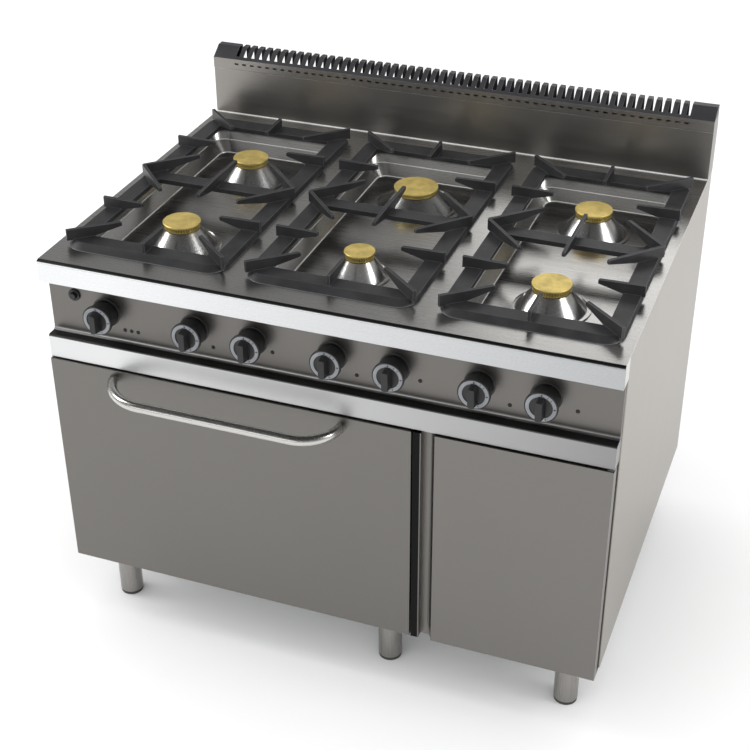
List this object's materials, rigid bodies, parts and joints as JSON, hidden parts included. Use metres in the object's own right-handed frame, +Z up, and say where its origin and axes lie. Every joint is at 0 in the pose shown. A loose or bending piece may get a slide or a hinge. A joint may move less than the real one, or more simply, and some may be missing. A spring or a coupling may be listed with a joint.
{
  "type": "commercial gas range",
  "caption": "Free-standing catering gas range with open burners under cast pan supports, drop-down oven, side cupboard, rear splashback and tubular legs.",
  "frame": {"origin": "on the floor, under the middle of the whole range's bounding box", "axes": "+X runs to the right along the front, +Y from the front to the back, +Z up; the front with the doors and knobs faces -Y"},
  "size_m": [1.2, 0.99, 1.06],
  "materials": {
    "worktop_steel": "satin brushed stainless",
    "fascia_steel": "satin brushed stainless",
    "casing_steel": "satin brushed stainless",
    "door_steel": "satin brushed stainless",
    "handle_steel": "fine polished stainless",
    "frame_steel": "plain galvanised",
    "leg_steel": "satin brushed stainless",
    "vent_enamel": "matt dark enamel",
    "oven_enamel": "gloss dark enamel",
    "cast_iron": "matt cast iron",
    "grate_iron": "matt enamelled cast iron",
    "cap_brass": "machined brass",
    "tap_brass": "machined brass",
    "cone_chrome": "polished pressed steel",
    "pipe_aluminium": "drawn tube",
    "rack_chrome": "bright wire",
    "control_plastic": "black moulded plastic",
    "foot_plastic": "black moulded plastic",
    "seal_fibre": "woven glass fibre",
    "mineral_wool": "mineral wool"
  },
  "bodies": {
    "casing": {"worktop": "worktop_steel", "control_panel": "fascia_steel", "side_panel_left": "casing_steel", "side_panel_right": "casing_steel", "back_panel": "casing_steel", "base_frame": "frame_steel", "divider_panel": "frame_steel", "splashback": "worktop_steel", "vent_cap": "vent_enamel", "oven_liner": "oven_enamel", "oven_front_frame": "door_steel", "oven_floor_plate": "cast_iron", "oven_burner": "frame_steel", "oven_insulation": "mineral_wool", "oven_rack": "rack_chrome", "oven_door_seal": "seal_fibre", "hinge_brackets": "frame_steel", "gas_manifold": "frame_steel", "tap_bodies": "tap_brass", "burner_gas_pipes": "pipe_aluminium", "burner_bodies": "cast_iron", "burner_cones": "cone_chrome", "thermocouples": "frame_steel", "legs": "leg_steel", "igniter_body": "control_plastic"},
    "oven_door": {"oven_door_outer": "door_steel", "oven_door_inner": "door_steel", "oven_door_handle": "handle_steel"},
    "cupboard_door": {"cabinet_door_outer": "door_steel", "cabinet_door_inner": "door_steel"},
    "igniter_button": {"igniter_button": "control_plastic"},
    "grate_left": {"grate_left": "grate_iron"},
    "grate_middle": {"grate_middle": "grate_iron"},
    "grate_right": {"grate_right": "grate_iron"},
    "burner_cap_front_left": {"burner_cap_front_left": "cap_brass"},
    "burner_cap_front_middle": {"burner_cap_front_middle": "cap_brass"},
    "burner_cap_front_right": {"burner_cap_front_right": "cap_brass"},
    "burner_cap_back_left": {"burner_cap_back_left": "cap_brass"},
    "burner_cap_back_middle": {"burner_cap_back_middle": "cap_brass"},
    "burner_cap_back_right": {"burner_cap_back_right": "cap_brass"},
    "tap_spindle_1": {"tap_spindle_1": "tap_brass"},
    "knob_1": {"knob_1": "control_plastic"},
    "tap_spindle_2": {"tap_spindle_2": "tap_brass"},
    "knob_2": {"knob_2": "control_plastic"},
    "tap_spindle_3": {"tap_spindle_3": "tap_brass"},
    "knob_3": {"knob_3": "control_plastic"},
    "tap_spindle_4": {"tap_spindle_4": "tap_brass"},
    "knob_4": {"knob_4": "control_plastic"},
    "tap_spindle_5": {"tap_spindle_5": "tap_brass"},
    "knob_5": {"knob_5": "control_plastic"},
    "tap_spindle_6": {"tap_spindle_6": "tap_brass"},
    "knob_6": {"knob_6": "control_plastic"},
    "tap_spindle_7": {"tap_spindle_7": "tap_brass"},
    "knob_7": {"knob_7": "control_plastic"},
    "foot_front_left": {"foot_front_left": "foot_plastic"},
    "foot_front_middle": {"foot_front_middle": "foot_plastic"},
    "foot_front_right": {"foot_front_right": "foot_plastic"},
    "foot_back_left": {"foot_back_left": "foot_plastic"},
    "foot_back_middle": {"foot_back_middle": "foot_plastic"},
    "foot_back_right": {"foot_back_right": "foot_plastic"}
  },
  "joints": [
    {"name": "oven_door_hinge", "type": "hinge", "parent": "casing", "child": "oven_door", "pos_m": [-0.199, -0.383, 0.165], "axis": [1, 0, 0], "range_deg": [0, 90]},
    {"name": "cupboard_door_hinge", "type": "hinge", "parent": "casing", "child": "cupboard_door", "pos_m": [0.59, -0.395, 0.41], "axis": [0, 0, 1], "range_deg": [0, 110]},
    {"name": "igniter_push", "type": "slide", "parent": "casing", "child": "igniter_button", "axis": [0, 1, 0], "range_m": [0, 0.005], "stiffness_N_per_m": 400},
    {"name": "grate_left_lift", "type": "slide", "parent": "casing", "child": "grate_left", "axis": [0, 0, 1], "range_m": [0, 0.15]},
    {"name": "grate_middle_lift", "type": "slide", "parent": "casing", "child": "grate_middle", "axis": [0, 0, 1], "range_m": [0, 0.15]},
    {"name": "grate_right_lift", "type": "slide", "parent": "casing", "child": "grate_right", "axis": [0, 0, 1], "range_m": [0, 0.15]},
    {"name": "burner_cap_front_left_lift", "type": "slide", "parent": "casing", "child": "burner_cap_front_left", "axis": [0, 0, 1], "range_m": [0, 0.08]},
    {"name": "burner_cap_front_middle_lift", "type": "slide", "parent": "casing", "child": "burner_cap_front_middle", "axis": [0, 0, 1], "range_m": [0, 0.08]},
    {"name": "burner_cap_front_right_lift", "type": "slide", "parent": "casing", "child": "burner_cap_front_right", "axis": [0, 0, 1], "range_m": [0, 0.08]},
    {"name": "burner_cap_back_left_lift", "type": "slide", "parent": "casing", "child": "burner_cap_back_left", "axis": [0, 0, 1], "range_m": [0, 0.08]},
    {"name": "burner_cap_back_middle_lift", "type": "slide", "parent": "casing", "child": "burner_cap_back_middle", "axis": [0, 0, 1], "range_m": [0, 0.08]},
    {"name": "burner_cap_back_right_lift", "type": "slide", "parent": "casing", "child": "burner_cap_back_right", "axis": [0, 0, 1], "range_m": [0, 0.08]},
    {"name": "tap_1_turn", "type": "hinge", "parent": "casing", "child": "tap_spindle_1", "pos_m": [-0.47, -0.374, 0.788], "axis": [0, -1, 0], "range_deg": [0, 270]},
    {"name": "knob_1_push", "type": "slide", "parent": "tap_spindle_1", "child": "knob_1", "axis": [0, 1, 0], "range_m": [0, 0.004], "stiffness_N_per_m": 900},
    {"name": "tap_2_turn", "type": "hinge", "parent": "casing", "child": "tap_spindle_2", "pos_m": [-0.271, -0.374, 0.788], "axis": [0, -1, 0], "range_deg": [0, 180]},
    {"name": "knob_2_push", "type": "slide", "parent": "tap_spindle_2", "child": "knob_2", "axis": [0, 1, 0], "range_m": [0, 0.004], "stiffness_N_per_m": 900},
    {"name": "tap_3_turn", "type": "hinge", "parent": "casing", "child": "tap_spindle_3", "pos_m": [-0.143, -0.374, 0.788], "axis": [0, -1, 0], "range_deg": [0, 180]},
    {"name": "knob_3_push", "type": "slide", "parent": "tap_spindle_3", "child": "knob_3", "axis": [0, 1, 0], "range_m": [0, 0.004], "stiffness_N_per_m": 900},
    {"name": "tap_4_turn", "type": "hinge", "parent": "casing", "child": "tap_spindle_4", "pos_m": [0.026, -0.374, 0.788], "axis": [0, -1, 0], "range_deg": [0, 180]},
    {"name": "knob_4_push", "type": "slide", "parent": "tap_spindle_4", "child": "knob_4", "axis": [0, 1, 0], "range_m": [0, 0.004], "stiffness_N_per_m": 900},
    {"name": "tap_5_turn", "type": "hinge", "parent": "casing", "child": "tap_spindle_5", "pos_m": [0.155, -0.374, 0.788], "axis": [0, -1, 0], "range_deg": [0, 180]},
    {"name": "knob_5_push", "type": "slide", "parent": "tap_spindle_5", "child": "knob_5", "axis": [0, 1, 0], "range_m": [0, 0.004], "stiffness_N_per_m": 900},
    {"name": "tap_6_turn", "type": "hinge", "parent": "casing", "child": "tap_spindle_6", "pos_m": [0.325, -0.374, 0.788], "axis": [0, -1, 0], "range_deg": [0, 180]},
    {"name": "knob_6_push", "type": "slide", "parent": "tap_spindle_6", "child": "knob_6", "axis": [0, 1, 0], "range_m": [0, 0.004], "stiffness_N_per_m": 900},
    {"name": "tap_7_turn", "type": "hinge", "parent": "casing", "child": "tap_spindle_7", "pos_m": [0.454, -0.374, 0.788], "axis": [0, -1, 0], "range_deg": [0, 180]},
    {"name": "knob_7_push", "type": "slide", "parent": "tap_spindle_7", "child": "knob_7", "axis": [0, 1, 0], "range_m": [0, 0.004], "stiffness_N_per_m": 900},
    {"name": "foot_front_left_level", "type": "slide", "parent": "casing", "child": "foot_front_left", "axis": [0, 0, 1], "range_m": [-0.05, 0]},
    {"name": "foot_front_middle_level", "type": "slide", "parent": "casing", "child": "foot_front_middle", "axis": [0, 0, 1], "range_m": [-0.05, 0]},
    {"name": "foot_front_right_level", "type": "slide", "parent": "casing", "child": "foot_front_right", "axis": [0, 0, 1], "range_m": [-0.05, 0]},
    {"name": "foot_back_left_level", "type": "slide", "parent": "casing", "child": "foot_back_left", "axis": [0, 0, 1], "range_m": [-0.05, 0]},
    {"name": "foot_back_middle_level", "type": "slide", "parent": "casing", "child": "foot_back_middle", "axis": [0, 0, 1], "range_m": [-0.05, 0]},
    {"name": "foot_back_right_level", "type": "slide", "parent": "casing", "child": "foot_back_right", "axis": [0, 0, 1], "range_m": [-0.05, 0]}
  ]
}
